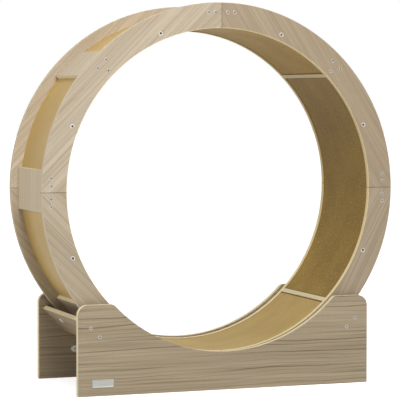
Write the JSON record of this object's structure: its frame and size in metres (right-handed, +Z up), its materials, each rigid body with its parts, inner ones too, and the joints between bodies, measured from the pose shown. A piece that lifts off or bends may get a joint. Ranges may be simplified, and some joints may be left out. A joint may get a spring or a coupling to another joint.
{
  "type": "cat exercise wheel",
  "caption": "Free-standing cat exercise wheel: a double-skinned wooden running track between two rings, turning on grooved rollers in a low base of side panels and cross boards.",
  "frame": {"origin": "on the floor, under the middle of the wheel", "axes": "+Z up; +Y along the wheel's axis, from the front with the name plate to the rear; +X to the right seen from the front"},
  "size_m": [0.92, 0.3575, 0.95],
  "materials": {
    "ring_veneer": "matte",
    "plate_veneer": "matte",
    "slat_wood": "matte",
    "track_board": "satin",
    "skin_board": "satin",
    "rib_wood": "matte",
    "screw_steel": "satin",
    "bolt_steel": "satin",
    "panel_veneer": "matte",
    "board_veneer": "matte",
    "roller_nylon": "matte",
    "bearing_steel": "polished",
    "zinc_steel": "satin",
    "badge_metal": "satin"
  },
  "bodies": {
    "base": {"front_side_panel": "panel_veneer", "rear_side_panel": "panel_veneer", "left_cross_board": "board_veneer", "right_cross_board": "board_veneer", "front_left_roller_bracket": "zinc_steel", "front_right_roller_bracket": "zinc_steel", "rear_left_roller_bracket": "zinc_steel", "rear_right_roller_bracket": "zinc_steel", "front_left_roller_axle": "zinc_steel", "front_right_roller_axle": "zinc_steel", "rear_left_roller_axle": "zinc_steel", "rear_right_roller_axle": "zinc_steel", "cross_board_screws": "screw_steel", "cross_board_bolts": "zinc_steel", "bracket_screws": "zinc_steel", "axle_clips": "zinc_steel", "badge_plate": "badge_metal"},
    "wheel": {"front_ring_upper_right": "ring_veneer", "front_ring_upper_left": "ring_veneer", "front_ring_lower_left": "ring_veneer", "front_ring_lower_right": "ring_veneer", "rear_ring_upper_right": "ring_veneer", "rear_ring_upper_left": "ring_veneer", "rear_ring_lower_left": "ring_veneer", "rear_ring_lower_right": "ring_veneer", "right_seam_plate": "plate_veneer", "top_seam_plate": "plate_veneer", "left_seam_plate": "plate_veneer", "bottom_seam_plate": "plate_veneer", "upper_right_diagonal_plate": "plate_veneer", "upper_left_diagonal_plate": "plate_veneer", "lower_left_diagonal_plate": "plate_veneer", "lower_right_diagonal_plate": "plate_veneer", "upper_right_slat": "slat_wood", "upper_left_slat": "slat_wood", "lower_left_slat": "slat_wood", "lower_right_slat": "slat_wood", "right_track_panel_after": "track_board", "top_track_panel_after": "track_board", "left_track_panel_after": "track_board", "bottom_track_panel_after": "track_board", "right_track_panel_before": "track_board", "top_track_panel_before": "track_board", "left_track_panel_before": "track_board", "bottom_track_panel_before": "track_board", "upper_right_outer_skin": "skin_board", "upper_left_outer_skin": "skin_board", "lower_left_outer_skin": "skin_board", "lower_right_outer_skin": "skin_board", "track_ribs": "rib_wood", "ring_screws": "screw_steel", "ring_bolts": "bolt_steel"},
    "front_left_roller": {"front_left_roller": "roller_nylon", "front_left_roller_bearing": "bearing_steel"},
    "front_right_roller": {"front_right_roller": "roller_nylon", "front_right_roller_bearing": "bearing_steel"},
    "rear_left_roller": {"rear_left_roller": "roller_nylon", "rear_left_roller_bearing": "bearing_steel"},
    "rear_right_roller": {"rear_right_roller": "roller_nylon", "rear_right_roller_bearing": "bearing_steel"}
  },
  "joints": [
    {"name": "wheel_spin", "type": "hinge", "parent": "base", "child": "wheel", "pos_m": [0, 0, 0.49], "axis": [0, 1, 0], "continuous": true},
    {"name": "front_left_roller_spin", "type": "hinge", "parent": "base", "child": "front_left_roller", "pos_m": [-0.24015, -0.141, 0.07405], "axis": [0, 1, 0], "continuous": true},
    {"name": "front_right_roller_spin", "type": "hinge", "parent": "base", "child": "front_right_roller", "pos_m": [0.24015, -0.141, 0.07405], "axis": [0, 1, 0], "continuous": true},
    {"name": "rear_left_roller_spin", "type": "hinge", "parent": "base", "child": "rear_left_roller", "pos_m": [-0.24015, 0.141, 0.07405], "axis": [0, 1, 0], "continuous": true},
    {"name": "rear_right_roller_spin", "type": "hinge", "parent": "base", "child": "rear_right_roller", "pos_m": [0.24015, 0.141, 0.07405], "axis": [0, 1, 0], "continuous": true}
  ],
  "couplings": [
    {"joint": "front_left_roller_spin", "follows": "wheel_spin", "ratio": -23},
    {"joint": "front_right_roller_spin", "follows": "wheel_spin", "ratio": -23},
    {"joint": "rear_left_roller_spin", "follows": "wheel_spin", "ratio": -23},
    {"joint": "rear_right_roller_spin", "follows": "wheel_spin", "ratio": -23}
  ]
}
